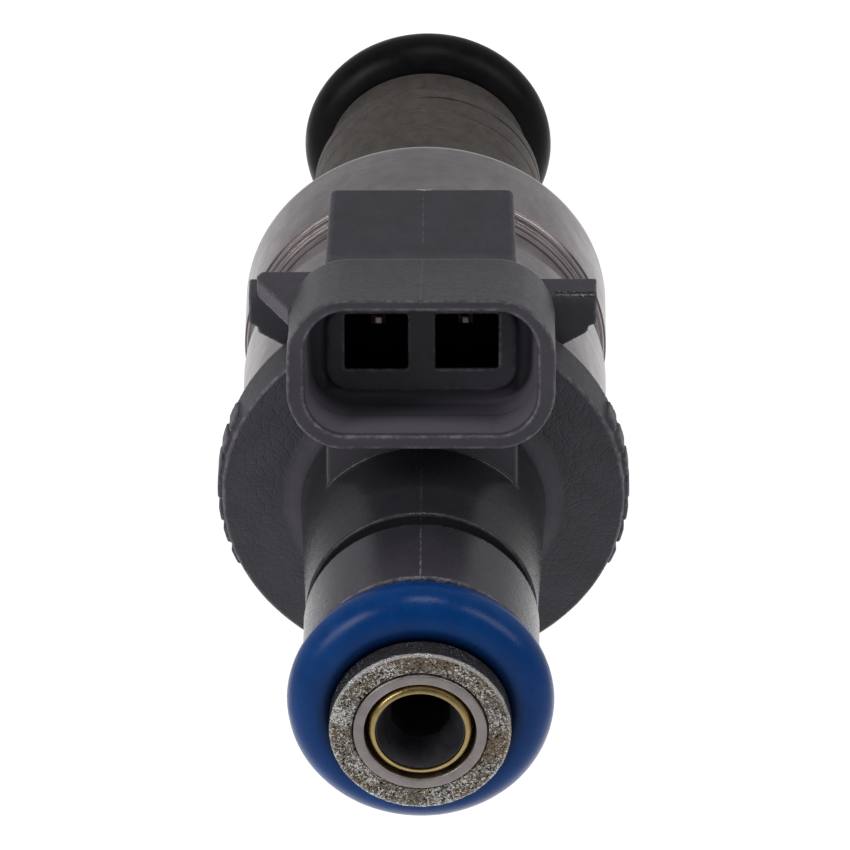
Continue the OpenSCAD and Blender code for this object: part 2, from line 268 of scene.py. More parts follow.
def nylon(name="nylon_grey", base=(0.108, 0.101, 0.121)):
    """Glass-filled nylon: soft sheen, moulding grain, pale edges that are part wear and part
    painted highlight, a parting line, and painted light and shade in places.
    """
    p = Paint(name)
    x, y, z = p.split(p.here)
    edge = p.attribute("edge")
    cloud = p.noise(0.55, 4, 0.6)
    speck = p.noise(9, 3, 0.7)
    shade = p.mix(p.ramp(cloud, 0.3, 0.7), scaled(base, 0.9), scaled(base, 1.1))
    shade = p.mix(p.ramp(speck, 0.55, 0.75, 0, 0.2), shade, scaled(base, 1.9))
    # Pale edges: part wear, part painted highlight where the rounded edges catch the light.
    broken = p.ramp(p.noise(1.6, 4, 0.7), 0.38, 0.66, 0.1, 0.8)
    worn_and_highlit_edges = p.math("MULTIPLY", p.ramp(edge, 0.3, 0.95), broken)
    shade = p.mix(worn_and_highlit_edges, shade, scaled(base, 3.2))
    # The mould's halves met in the plane x = 0: on the connector's outer side and the neck
    c, s = math.cos(PLUG_LEAN), math.sin(PLUG_LEAN)
    v = p.math("ADD", p.math("MULTIPLY", y, c), p.math("MULTIPLY", z, s))
    on_plug = p.ramp(v, PLUG_UP * s - PLUG_OUT * c - SHROUD_H / 2 + 0.2,
                     PLUG_UP * s - PLUG_OUT * c - SHROUD_H / 2 + 0.4, 1, 0)
    on_neck = p.math("MULTIPLY", p.ramp(z, WEB_TOP, WEB_TOP + 0.1),
                     p.math("MULTIPLY", p.ramp(y, -7.6, -7.4), p.ramp(y, -3, -2, 1, 0)))
    seam = p.math("ABSOLUTE", p.math("ADD", x, p.ramp(p.noise(1.5), 0, 1, -0.03, 0.03)))
    seam = p.math("MULTIPLY", p.ramp(seam, 0.02, 0.055, 1, 0),
                  p.math("MAXIMUM", on_plug, on_neck))
    shade = p.mix(p.math("MULTIPLY", seam, p.ramp(p.noise(2.2, 3), 0.42, 0.62, 0.1, 0.7)), shade,
                  p.mix(p.ramp(z, COLLAR_LOW - 1, COLLAR_LOW + 2), scaled(base, 2.4),
                        scaled(base, 6)))
    # The flange's face carries a crazed texture
    facing = p.split(p.normal)[2]
    face = p.math("MULTIPLY", p.ramp(facing, 0.9, 0.99),
                  p.ramp(p.math("ABSOLUTE", p.math("SUBTRACT", z, FLANGE_TOP)), 0.2, 0.5, 1, 0))
    craze = p.ramp(p.cells(1.9, "DISTANCE_TO_EDGE"), 0.0, 0.12)
    rough = p.ramp(p.noise(3.5, 4, 0.65), 0.25, 0.75, 0.44, 0.58)
    rough = p.math("SUBTRACT", rough, p.math("MULTIPLY", edge, 0.06))
    # The neck and collar are turned smoother in the mould. The neck and groove are painted darker,
    # and the collar darker in a band about x = 0 that fades towards its end: painted shade from
    # the connector in front of them.
    out = p.math("SQRT", p.math("ADD", p.math("MULTIPLY", x, x), p.math("MULTIPLY", y, y)))
    neck = p.math("MULTIPLY", p.ramp(out, 6.95, 7.05, 1, 0), p.ramp(z, 40.6, 41.2))
    rough = p.math("SUBTRACT", rough, p.math("MULTIPLY", neck, 0.28))
    front = p.math("MULTIPLY", p.ramp(p.math("ABSOLUTE", x), 2.0, 3.6, 1, 0),
                   p.ramp(z, COLLAR_LOW, COLLAR_TOP, 0.55, 0.1))
    neck = p.math("MULTIPLY", neck, p.math("MAXIMUM", front, p.ramp(
        z, COLLAR_LOW, COLLAR_LOW + 0.1, 0.6, 0)))
    shade = p.mix(neck, shade, (0, 0, 0))
    # Flash left in dots along the collar's end, painted pale only on the side of -y as the
    # highlight of its lit edge
    flash_highlight = p.math("MULTIPLY", p.ramp(z, COLLAR_TOP - 0.2, COLLAR_TOP - 0.1),
                   p.ramp(p.math("ABSOLUTE", x), 1.0, 4.0, 1, 0))
    flash_highlight = p.math("MULTIPLY", flash_highlight, p.ramp(y, -2, -1.5, 1, 0))
    flash_highlight = p.math("MULTIPLY", flash_highlight, p.ramp(p.noise(5, 3, 0.8), 0.50, 0.58, 0, 0.7))
    shade = p.mix(flash_highlight, shade, scaled(base, 4.5))
    # A fine pale line painted where the neck rises out of the web, as the highlight of the fillet
    # there
    fillet = p.math("ABSOLUTE", p.math("SUBTRACT", out, 6.68))
    fillet = p.math("MULTIPLY", p.ramp(fillet, 0.03, 0.08, 1, 0), p.ramp(y, -4.2, -3.8, 1, 0))
    fillet = p.math("MULTIPLY", fillet, p.ramp(p.math("ABSOLUTE", p.math(
        "SUBTRACT", z, WEB_TOP)), 0.06, 0.1, 1, 0))
    fillet = p.math("MULTIPLY", fillet, p.ramp(p.math("ABSOLUTE", x), 5.2, 5.3, 1, 0))
    shade = p.mix(p.math("MULTIPLY", fillet, 0.4), shade, scaled(base, 4))
    # The shroud's inner walls are painted paler than the terminal island: painted light in the
    # deep mouth
    w = p.math("SUBTRACT", p.math("MULTIPLY", z, c), p.math("MULTIPLY", y, s))
    w = p.math("SUBTRACT", w, PLUG_UP * c + PLUG_OUT * s)
    v = p.math("SUBTRACT", v, PLUG_UP * s - PLUG_OUT * c)
    aside = p.math("ABSOLUTE", x)
    level = p.math("ABSOLUTE", p.math("ADD", v, 0.2))
    over = [p.math("MAXIMUM", p.math("SUBTRACT", d, half - 2.3), 0)
            for d, half in ((aside, SHROUD_W / 2 - 0.98), (p.math("ABSOLUTE", p.math(
                "ADD", v, 0.07)), SHROUD_H / 2 - 0.72))]
    corner = p.math("SQRT", p.math("ADD", p.math("MULTIPLY", over[0], over[0]),
                                   p.math("MULTIPLY", over[1], over[1])))
    inner = p.math("MULTIPLY", p.ramp(corner, 2.4, 2.5, 1, 0), p.ramp(w, -0.7, -0.2, 1, 0))
    inner = p.math("MULTIPLY", inner, p.ramp(w, -8, -7.5))
    moat = p.math("MAXIMUM", p.ramp(aside, 5.2, 5.5), p.ramp(level, 2.35, 2.65))
    shade = p.mix(p.math("MULTIPLY", inner, moat), shade, scaled(base, 2.3))
    # A crisp pale line is painted along the shroud's rear edge as its highlight, and the web's top
    # face is painted paler than the neck as painted light
    rear_edge_highlight = p.math("ABSOLUTE", p.math("ADD", w, SHROUD_LEN - 0.1))
    rear_edge_highlight = p.math("MULTIPLY", p.ramp(rear_edge_highlight, 0.1, 0.2, 1, 0), p.ramp(v, -2.0, -1.6, 1, 0))
    rear_edge_highlight = p.math("MULTIPLY", rear_edge_highlight, p.ramp(aside, 7.3, 7.44, 1, 0))
    rear_edge_highlight = p.math("MULTIPLY", rear_edge_highlight, p.ramp(y, -12.35, -12.25, 1, 0))
    shade = p.mix(p.math("MULTIPLY", rear_edge_highlight, 0.8), shade, scaled(base, 4))
    web = p.math("MULTIPLY", p.ramp(out, 6.75, 6.85), p.ramp(p.math("ABSOLUTE", p.math(
        "SUBTRACT", z, WEB_TOP)), 0.06, 0.1, 1, 0))
    web = p.math("MULTIPLY", web, p.ramp(y, -4, -3.6, 1, 0))
    shade = p.mix(web, shade, scaled(base, 1.3))
    # The plug's outer side is painted a little darker as shade, and the pockets are painted near
    # black, with their specular turned down, as the shade deep inside them
    shade = p.mix(p.ramp(v, -3.9, -3.7, 0.22, 0), shade, (0, 0, 0))
    pocket = p.math("MULTIPLY", p.ramp(w, -5.75, -5.5, 1, 0), p.ramp(w, -10.6, -10.4))
    pocket = p.math("MULTIPLY", pocket, p.ramp(aside, 4.5, 4.7, 1, 0))
    pocket = p.math("MULTIPLY", pocket, p.ramp(level, 2.3, 2.4, 1, 0))
    shade = p.mix(pocket, shade, (0.004, 0.004, 0.005))
    dull = p.math("MULTIPLY", pocket, -0.45)
    # The latch lug's slanted side, which faces the left light at +x, is painted pale as its
    # highlight
    lug_highlight = p.math("MULTIPLY", p.ramp(p.split(p.normal)[0], 0.3, 0.5), p.ramp(y, -11.1, -10.9, 1, 0))
    lug_highlight = p.math("MULTIPLY", lug_highlight, p.math("MULTIPLY", p.ramp(aside, 7.2, 7.5), p.ramp(
        z, LUG_LOW, LUG_LOW + 0.3)))
    shade = p.mix(p.math("MULTIPLY", lug_highlight, p.ramp(speck, 0.4, 0.6, 0.5, 1)), shade,
                  scaled(base, 1.7))
    # The gate's scar on the front edge of the wing at the side of -x: it is smoother, white flecks
    # are painted on it as glints, and the wing there is painted darker as shade
    scar_and_shade = p.math("MULTIPLY", p.ramp(x, -7.5, -7.3, 1, 0), p.ramp(x, -9.7, -9.6))
    wave = p.ramp(p.noise(0.5, 2, 0.6), 0.3, 0.7, 0.24, 0.34)
    scar_and_shade = p.math("MULTIPLY", scar_and_shade, p.ramp(p.math("ABSOLUTE", p.math("SUBTRACT", p.math(
        "ADD", z, wave), WING_HIGH)), 0.12, 0.2, 1, 0))
    scar_and_shade = p.math("MULTIPLY", scar_and_shade, p.ramp(y, WING_OUT + 0.6, WING_OUT + 0.9, 1, 0))
    painted_glint_flecks = p.math("MULTIPLY", scar_and_shade, p.ramp(p.cells(8), 0.2, 0.34, 1, 0))
    painted_glint_flecks = p.math("MULTIPLY", painted_glint_flecks, p.ramp(p.noise(3, 3, 0.8), 0.44, 0.52))
    shade = p.mix(p.math("MULTIPLY", scar_and_shade, 0.5), shade, (0, 0, 0))
    shade = p.mix(painted_glint_flecks, shade, (0.95, 0.95, 0.95))
    rough = p.math("SUBTRACT", rough, p.math("MULTIPLY", scar_and_shade, 0.3))
    normal = p.bump(p.noise(9, 3, 0.7), 0.022, 0.6)
    normal = p.bump(p.noise(1.1, 2, 0.5), 0.05, 0.4, normal)
    normal = p.bump(p.math("MULTIPLY", craze, face), 0.03, 0.6, normal)
    normal = p.bump(seam, 0.02, 0.6, normal)
    normal = p.bump(painted_glint_flecks, 0.05, 0.8, normal)
    p.set(Base_Color=shade, Roughness=rough, Normal=normal, IOR=1.5,
          Specular_IOR_Level=p.math("ADD", dull, 0.5))
    return p.mat


def satin_steel(name="case_steel", base=(0.55, 0.51, 0.53), rough=(0.28, 0.40)):
    """Plated steel: fine rings, faint streaks along it, stains and small nicks."""
    p = Paint(name)
    x, y, z = p.split(p.here)
    ring = p.around(1.2)
    grain = p.noise(9, 5, 0.75, ring)
    turn, out, high = p.split(p.around(1.0))
    streak = p.noise(1.6, 4, 0.7, p.vector(turn, out, p.math("MULTIPLY", high, 0.12)))
    stain = p.noise(0.7, 5, 0.7)
    nick = p.noise(4.5, 6, 0.8)
    shade = p.mix(p.ramp(stain, 0.3, 0.7), scaled(base, 0.80), scaled(base, 1.06))
    shade = p.mix(p.ramp(streak, 0.42, 0.66, 0, 0.6), shade, scaled(base, 0.6))
    shade = p.mix(p.ramp(grain, 0.3, 0.75, 0, 0.35), shade, scaled(base, 1.3))
    shade = p.mix(p.ramp(nick, 0.66, 0.72, 0, 0.5), shade, scaled(base, 0.55))
    # The crimped edge is browned between bright rings, which are painted on as highlights of its
    # steps, and the cup's far edge is painted near white as the highlight of its rounded corner
    roll = p.math("MULTIPLY", p.ramp(z, LOWER_CASE_TOP - 1.25, LOWER_CASE_TOP - 1.1),
                  p.ramp(z, LOWER_CASE_TOP + 0.1, LOWER_CASE_TOP + 0.3, 1, 0))
    lines = p.noise(7, 3, 0.7, p.vector(0.31, 0.73, z))
    shade = p.mix(p.math("MULTIPLY", roll, p.ramp(lines, 0.46, 0.56, 0, 0.85)), shade,
                  (0.16, 0.10, 0.085))
    shade = p.mix(p.math("MULTIPLY", roll, p.ramp(lines, 0.40, 0.44, 0.7, 0)), shade,
                  (0.95, 0.88, 0.88))
    edge = p.ramp(z, LOWER_CASE_LOW + 0.2, LOWER_CASE_LOW + 0.4, 0.9, 0)
    shade = p.mix(edge, shade, (0.95, 0.93, 0.94))
    gloss = p.ramp(p.noise(2.5, 4, 0.7, ring), 0.25, 0.75, *rough)
    normal = p.bump(grain, 0.006, 0.6)
    normal = p.bump(nick, 0.01, 0.35, normal)
    normal = p.bump(streak, 0.02, 0.35, normal)
    p.set(Base_Color=shade, Roughness=gloss, Metallic=1.0, Normal=normal)
    return p.mat


def phosphated_steel(name="phosphate_steel"):
    """Dull brown-grey coating over turning marks, rubbed through in places."""
    p = Paint(name)
    x, y, z = p.split(p.here)
    ring = p.around(0.8)
    lines = p.noise(7, 4, 0.8, ring)
    blotch = p.noise(1.3, 5, 0.7)
    grit = p.noise(16, 3, 0.7)
    shade = p.mix(p.ramp(blotch, 0.3, 0.7), (0.125, 0.112, 0.104), (0.20, 0.178, 0.165))
    shade = p.mix(p.ramp(lines, 0.35, 0.7, 0, 0.4), shade, (0.25, 0.225, 0.21))
    shade = p.mix(p.ramp(p.noise(3.2, 5, 0.8, p.around(3)), 0.63, 0.7, 0, 0.55), shade,
                  (0.04, 0.036, 0.03))
    # The tool rings are picked out in black, in broken streaks
    ring_at = p.ramp(p.math("ABSOLUTE", p.math("SUBTRACT", z, 6.04)), 0.05, 0.14, 1, 0)
    ring_at = p.math("MAXIMUM", ring_at, p.ramp(p.math("ABSOLUTE", p.math(
        "SUBTRACT", z, 7.69)), 0.03, 0.1, 1, 0))
    torn = p.ramp(p.noise(0.9, 4, 0.7, p.around(0.35)), 0.46, 0.58, 0, 0.85)
    shade = p.mix(p.math("MULTIPLY", ring_at, torn), shade, (0.02, 0.017, 0.014))
    normal = p.bump(lines, 0.012, 0.7)
    normal = p.bump(grit, 0.016, 0.7, normal)
    p.set(Base_Color=shade, Roughness=p.ramp(grit, 0.3, 0.7, 0.5, 0.68), Metallic=0.55,
          Normal=normal)
    return p.mat


def sintered_steel(name="sintered_steel"):
    """Pressed and plated powder metal: bright grains, dark pores, brown stains, painted glints, a
    painted rim highlight and painted shade on its sides.
    """
    p = Paint(name)
    x, y, z = p.split(p.here)
    grain = p.cells(6)
    glint = p.noise(7, 2, 0.65, twist=0.6)
    pores = p.noise(6, 2, 0.6, twist=1.0)
    stain = p.noise(0.45, 4, 0.6)
    shade = p.mix(p.ramp(grain, 0.1, 0.7), (0.60, 0.54, 0.47), (0.22, 0.19, 0.155))
    shade = p.mix(p.ramp(stain, 0.44, 0.58, 0, 0.8), shade, (0.33, 0.24, 0.16))
    # Bright plating in patches: its spots are painted white as glints, with lower roughness, and
    # lean towards +x, the side of the brightest lamp, as painted light
    patch = p.ramp(p.noise(0.5, 2, 0.5, twist=0.4), 0.38, 0.62, -0.07, 0.05)
    left = p.math("ADD", p.math("ADD", glint, patch), p.ramp(x, -1, RETAINER_R, -0.02, 0.05))
    shade = p.mix(p.ramp(left, 0.53, 0.57), shade, (1.0, 1.0, 0.97))
    out = p.math("SQRT", p.math("ADD", p.math("MULTIPLY", x, x), p.math("MULTIPLY", y, y)))
    # Painted highlight: a white line round the outer rim's top edge, strongest at the side of -y.
    # Painted shade: everything below the top face is painted dark.
    rim = p.math("MULTIPLY", p.ramp(out, RETAINER_R - 0.22, RETAINER_R - 0.12),
                 p.ramp(z, RETAINER_TOP - 0.2, RETAINER_TOP - 0.1))
    wall = p.ramp(z, RETAINER_TOP - 0.25, RETAINER_TOP - 0.15, 0.85, 0)
    shade = p.mix(wall, shade, (0.10, 0.10, 0.11))
    rim = p.math("MULTIPLY", rim, p.ramp(y, -3.5, 0, 0.8, 0.25))
    shade = p.mix(rim, shade, (1.0, 1.0, 1.0))
    inside = p.ramp(out, RETAINER_R - 0.3, RETAINER_R - 0.15, 1, 0.1)
    pit = p.math("MULTIPLY", inside, p.ramp(pores, 0.56, 0.61, 0, 0.97))
    shade = p.mix(pit, shade, (0.02, 0.017, 0.014))
    normal = p.bump(grain, 0.03, 0.8)
    normal = p.bump(glint, 0.13, 1.0, normal)
    normal = p.bump(pores, 0.07, 0.9, normal)
    p.set(Base_Color=shade, Roughness=p.ramp(left, 0.5, 0.58, 0.42, 0.2), Metallic=0.9,
          Normal=normal)
    return p.mat


def rubber(name, base, sheen_base, rough=(0.30, 0.42), ior=1.38):
    """Moulded O-ring rubber with a waxy bloom and faint flow marks, painted darker towards its
    inner side as shade.
    """
    p = Paint(name)
    bloom = p.noise(0.7, 4, 0.6)
    fine = p.noise(12, 3, 0.6)
    shade = p.mix(p.ramp(bloom, 0.35, 0.7), base, sheen_base)
    x, y, z = p.split(p.here)
    out = p.math("SQRT", p.math("ADD", p.math("MULTIPLY", x, x), p.math("MULTIPLY", y, y)))
    # Painted shade: the rubber is painted near black inside a radius of RETAINER_R + 0.9 mm,
    # beside the retainer.
    shade = p.mix(p.ramp(out, RETAINER_R - 0.1, RETAINER_R + 0.9, 0.85, 0), shade, (0, 0, 0.003))
    normal = p.bump(fine, 0.006, 0.5)
    normal = p.bump(p.noise(1.4, 3, 0.5), 0.03, 0.4, normal)
    p.set(Base_Color=shade, Roughness=p.ramp(bloom, 0.3, 0.7, *rough), Normal=normal, IOR=ior)
    return p.mat


def drawn_metal(name, base, rough=(0.2, 0.35), metallic=1.0, scratch=0.004):
    """Drawn or turned bright metal, with rings of fine scratches."""
    p = Paint(name)
    ring = p.around(0.9)
    lines = p.noise(14, 5, 0.8, ring)
    tone = p.noise(1.2, 4, 0.6)
    shade = p.mix(p.ramp(tone, 0.3, 0.7), scaled(base, 0.78), base)
    shade = p.mix(p.ramp(p.noise(10, 5, 0.85), 0.54, 0.66, 0, 0.6), shade,
                  scaled(base, 0.5))
    p.set(Base_Color=shade, Roughness=p.ramp(tone, 0.3, 0.7, *rough), Metallic=metallic,
          Normal=p.bump(lines, scratch, 0.7))
    return p.mat


def blade_alloy(name="terminal_alloy"):
    """Dark brown contact metal, with a painted highlight at the very tip of each blade."""
    p = Paint(name)
    x, y, z = p.split(p.here)
    tip = high_mm("terminal_left").z - 0.05
    fore = low_mm("terminal_left").y + 0.14
    away = p.math("ABSOLUTE", p.math("SUBTRACT", p.math("ABSOLUTE", x), TERMINAL_X))
    away = p.math("MAXIMUM", away, p.math("ABSOLUTE", p.math("SUBTRACT", y, fore)))
    # Painted highlight: the tip of each blade is painted near white and made less metallic, as a
    # glint.
    bright = p.math("MULTIPLY", p.ramp(away, 0.09, 0.2, 1, 0), p.ramp(z, tip - 0.3, tip - 0.2))
    tone = p.noise(1.5, 4, 0.6)
    shade = p.mix(p.ramp(tone, 0.3, 0.7), (0.035, 0.016, 0.010), (0.07, 0.036, 0.022))
    shade = p.mix(bright, shade, (1.0, 0.93, 0.84))
    metal = p.math("SUBTRACT", 1, p.math("MULTIPLY", bright, 0.7))
    p.set(Base_Color=shade, Roughness=p.ramp(tone, 0.3, 0.7, 0.3, 0.4), Metallic=metal,
          Normal=p.bump(p.noise(12, 4, 0.7), 0.004, 0.6))
    return p.mat


def smooth_plastic(name, base, rough=(0.35, 0.5)):
    """Plain moulded plastic with faint flow lines."""
    p = Paint(name)
    flow = p.noise(0.9, 4, 0.6, twist=0.6)
    shade = p.mix(p.ramp(flow, 0.3, 0.7), scaled(base, 0.8),
                  scaled(base, 1.25))
    normal = p.bump(p.noise(10, 3, 0.6), 0.008, 0.5)
    p.set(Base_Color=shade, Roughness=p.ramp(flow, 0.3, 0.7, *rough), Normal=normal, IOR=1.5)
    return p.mat


def woven_strainer(name="filter_cloth"):
    """Fine cloth seen as crossing threads round the axis."""
    p = Paint(name)
    turn, out, z = p.split(p.around(2.0))
    weft = p.math("SINE", p.math("MULTIPLY", z, 60))
    warp = p.math("SINE", p.math("MULTIPLY", turn, 60))
    weave = p.math("MAXIMUM", weft, warp)
    shade = p.mix(p.ramp(weave, 0, 1), (0.1, 0.1, 0.09), (0.5, 0.49, 0.46))
    p.set(Base_Color=shade, Roughness=p.ramp(weave, -1, 1, 0.6, 0.4), Metallic=0.6,
          Normal=p.bump(weave, 0.03, 0.8))
    return p.mat


def wound_copper(name="copper"):
    """Enamelled wire laid in rows, one turn beside the next."""
    p = Paint(name)
    x, y, z = p.split(p.here)
    rows = p.math("ABSOLUTE", p.math("SINE", p.math("MULTIPLY", z, 10.5)))
    tone = p.noise(0.8, 4, 0.6)
    shade = p.mix(p.ramp(tone, 0.3, 0.7), (0.42, 0.13, 0.05), (0.66, 0.26, 0.11))
    shade = p.mix(p.ramp(rows, 0, 0.4, 0.8, 0), shade, (0.08, 0.02, 0.01))
    p.set(Base_Color=shade, Roughness=p.ramp(tone, 0.3, 0.7, 0.22, 0.34), Metallic=0.85,
          Normal=p.bump(rows, 0.12, 0.9))
    return p.mat


MATERIALS = {
    "nylon_grey": nylon(),
    "plastic_black": smooth_plastic("plastic_black", (0.02, 0.02, 0.022)),
    "bobbin_nylon": smooth_plastic("bobbin_nylon", (0.05, 0.11, 0.07)),
    "rubber_black": rubber("rubber_black", (0.005, 0.004, 0.006), (0.009, 0.008, 0.010),
                           (0.34, 0.46), 1.3),
    "rubber_blue": rubber("rubber_blue", (0.001, 0.070, 0.32), (0.002, 0.085, 0.37), (0.24, 0.32)),
    "case_steel": satin_steel(),
    "phosphate_steel": phosphated_steel(),
    "sintered_steel": sintered_steel(),
    "bright_steel": drawn_metal("bright_steel", (0.60, 0.55, 0.54), (0.34, 0.48), 1.0, 0.02),
    "spring_steel": drawn_metal("spring_steel", (0.5, 0.5, 0.52)),
    "ball_steel": drawn_metal("ball_steel", (0.75, 0.75, 0.77), (0.05, 0.12), 1.0, 0.001),
    "brass": drawn_metal("brass", (0.90, 0.68, 0.30), (0.22, 0.38)),
    "terminal_alloy": blade_alloy(),
    "copper": wound_copper(),
    "filter_plastic": smooth_plastic("filter_plastic", (0.055, 0.052, 0.062), (0.26, 0.38)),
    "filter_cloth": woven_strainer(),
}


# ---------------------------------------------------------------- mesh helpers

def add_piece(name, mesh, slot, body, *replaced):
    """Puts a mesh in the scene as a piece that rides on a body and replaces CAD nodes."""
    piece = bpy.data.objects.new(name, mesh)
    bpy.context.scene.collection.objects.link(piece)
    mesh.materials.append(MATERIALS[slot])
    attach(piece, body)
    if replaced:
        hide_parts(*replaced)
    return piece


def rounded_outline(corners, steps=5):
    """Corners are (r, z, fillet). Each fillet becomes an arc of that radius."""
    points = []
    count = len(corners)
    for i, (r, z, fillet) in enumerate(corners):
        here = Vector((r, z))
        before = Vector(corners[i - 1][:2]) - here
        after = Vector(corners[(i + 1) % count][:2]) - here
        angle = before.angle(after)
        if fillet <= 0 or angle > math.pi - 0.02:
            points.append(here)
            continue
        back = min(fillet / math.tan(angle / 2), 0.49 * before.length, 0.49 * after.length)
        fillet = back * math.tan(angle / 2)
        before.normalize()
        after.normalize()
        centre = here + (before + after).normalized() * (fillet / math.sin(angle / 2))
        start = here + before * back - centre
        end = here + after * back - centre
        sweep = start.angle_signed(end)
        for k in range(steps + 1):
            arm = start.copy()
            arm.rotate(Matrix.Rotation(-sweep * k / steps, 2))
            points.append(centre + arm)
    return [(p.x, p.y) for p in points]


def finer(outline, step):
    """The closed outline with no stretch longer than step."""
    points = []
    for (r0, z0), (r1, z1) in zip(outline, outline[1:] + outline[:1]):
        parts = max(1, math.ceil(math.hypot(r1 - r0, z1 - z0) / step))
        points += [(r0 + (r1 - r0) * k / parts, z0 + (z1 - z0) * k / parts)
                   for k in range(parts)]
    return points


def turned(name, outline, slot, *replaced, body="injector", around=256, wander=None,
           crease=40):
    """Turns a closed outline round the axis. wander(point, out) moves each point in mm."""
    rows = len(outline)
    angles = [2 * math.pi * i / around for i in range(around)]
    places = []
    for angle in angles:
        c, s = math.cos(angle), math.sin(angle)
        for r, z in outline:
            point = Vector((r * c, r * s, z))
            if wander:
                point = wander(point)
            places.append(point * MM)
    area = sum(r0 * z1 - r1 * z0
               for (r0, z0), (r1, z1) in zip(outline, outline[1:] + outline[:1]))
    quads = []
    for i in range(around):
        for k in range(rows):
            a, b = i * rows + k, i * rows + (k + 1) % rows
            c, d = (b + rows) % (rows * around), (a + rows) % (rows * around)
            quads.append((a, d, c, b) if area > 0 else (a, b, c, d))
    mesh = bpy.data.meshes.new(name)
    mesh.from_pydata(places, [], quads)
    mesh.shade_smooth()
    mesh.set_sharp_from_angle(angle=math.radians(crease))
    return add_piece(name, mesh, slot, body, *replaced)


# ---------------------------------------------------------------- distance functions

def polygon_distance(u, v, corners):
    """Signed distance to a closed polygon, negative inside."""
    least = np.full(u.shape, 1e9, np.float32)
    inside = np.zeros(u.shape, bool)
    for (au, av), (bu, bv) in zip(corners, corners[1:] + corners[:1]):
        eu, ev = bu - au, bv - av
        wu, wv = u - au, v - av
        share = np.clip((wu * eu + wv * ev) / (eu * eu + ev * ev), 0, 1)
        least = np.minimum(least, (wu - eu * share) ** 2 + (wv - ev * share) ** 2)
        if av != bv:
            crossed = (av <= v) != (bv <= v)
            inside ^= crossed & (u < eu * (v - av) / ev + au)
    return np.where(inside, -1, 1) * np.sqrt(least)


def inset(corners, depth):
    """The polygon with each side moved inwards by depth."""
    area = sum(a[0] * b[1] - b[0] * a[1] for a, b in zip(corners, corners[1:] + corners[:1]))
    sign = 1 if area > 0 else -1
    moved = []
    count = len(corners)
    for i in range(count):
        here = Vector(corners[i])
        back = (here - Vector(corners[i - 1])).normalized()
        ahead = (Vector(corners[(i + 1) % count]) - here).normalized()
        n0 = Vector((-back.y, back.x)) * sign
        n1 = Vector((-ahead.y, ahead.x)) * sign
        bend = (n0 + n1) / (1 + n0.dot(n1))
        moved.append(tuple(here + bend * depth))
    return moved


def join(a, b, blend):
    """Union with a fillet of about blend."""
    near = np.maximum(blend - np.abs(a - b), 0) / blend
    return np.minimum(a, b) - near * near * blend / 4


def carve(a, b, blend):
    """a without b, with its new edges rounded by about blend."""
    return -join(-a, b, blend)


def slab(flat, along, low, high, edge):
    """A flat shape's distance made solid from low to high, with rounded edges."""
    a = flat + edge
    b = np.abs(along - (low + high) / 2) - (high - low) / 2 + edge
    outside = np.sqrt(np.maximum(a, 0) ** 2 + np.maximum(b, 0) ** 2)
    return outside + np.minimum(np.maximum(a, b), 0) - edge


def soft_rect(u, v, half_u, half_v, r):
    """Rectangle with corners of radius r, about the origin."""
    a, b = np.abs(u) - half_u + r, np.abs(v) - half_v + r
    outside = np.sqrt(np.maximum(a, 0) ** 2 + np.maximum(b, 0) ** 2)
    return outside + np.minimum(np.maximum(a, b), 0) - r


def block(x, y, z, low, high, edge):
    """Box between two corners, with rounded edges."""
    flat = soft_rect(x - (low[0] + high[0]) / 2, y - (low[1] + high[1]) / 2,
                     (high[0] - low[0]) / 2, (high[1] - low[1]) / 2, edge)
    return slab(flat, z, low[2], high[2], edge)


# ---------------------------------------------------------------- the moulded body

EDGE = 0.16
FLARE = 1.4
BODY_OUTLINE = (
    [(TUBE_R + 0.02, WASHER_TOP), (CAN_BORE_R - 0.03, WASHER_TOP),
     (CAN_BORE_R - 0.03, CASE_TOP), (FLANGE_R, CASE_TOP),
     (FLANGE_R - 0.1, FLANGE_TOP)]
    + [(NECK_LOW_R + FLARE * (1 - math.sin(a)), FLANGE_TOP + FLARE * (1 - math.cos(a)))
       for a in (math.radians(15 * k) for k in range(1, 7))]
    + [(COLLAR_R - 0.1, NECK_TOP), (GROOVE_R, NECK_TOP), (GROOVE_R, COLLAR_LOW),
       (COLLAR_R, COLLAR_LOW), (COLLAR_R, COLLAR_TOP), (TUBE_R + 0.02, COLLAR_TOP)])
BODY_CORE = inset(BODY_OUTLINE, EDGE)


def round_body(x, y, z):
    """Flange, neck and collar, with plain raised pads on the flange's rim."""
    r = np.sqrt(x * x + y * y)
    shape = polygon_distance(r, z, BODY_CORE) - EDGE
    turn = np.arctan2(y, np.abs(x))
    pitch = math.radians(7.5)
    nearest = np.clip(np.round(turn / pitch), -3, 3) * pitch
    flat = soft_rect((turn - nearest) * FLANGE_R, r - FLANGE_R, 0.55, 0.2, 0.15)
    pads = slab(flat, z, CASE_TOP + 0.6, FLANGE_TOP - 0.6, 0.15)
    return join(shape, pads, 0.12)


def plug_frame(x, y, z):
    """The connector's own axes: u across, v towards the injector, w out of the mouth."""
    c, s = math.cos(PLUG_LEAN), math.sin(PLUG_LEAN)
    out, up = y + PLUG_OUT, z - PLUG_UP
    return x, out * c + up * s, up * c - out * s


def rounded_corner(a, b, r):
    """Two half-spaces that meet in an edge of radius r."""
    a, b = a + r, b + r
    return np.sqrt(np.maximum(a, 0) ** 2 + np.maximum(b, 0) ** 2) + np.minimum(
        np.maximum(a, b), 0) - r


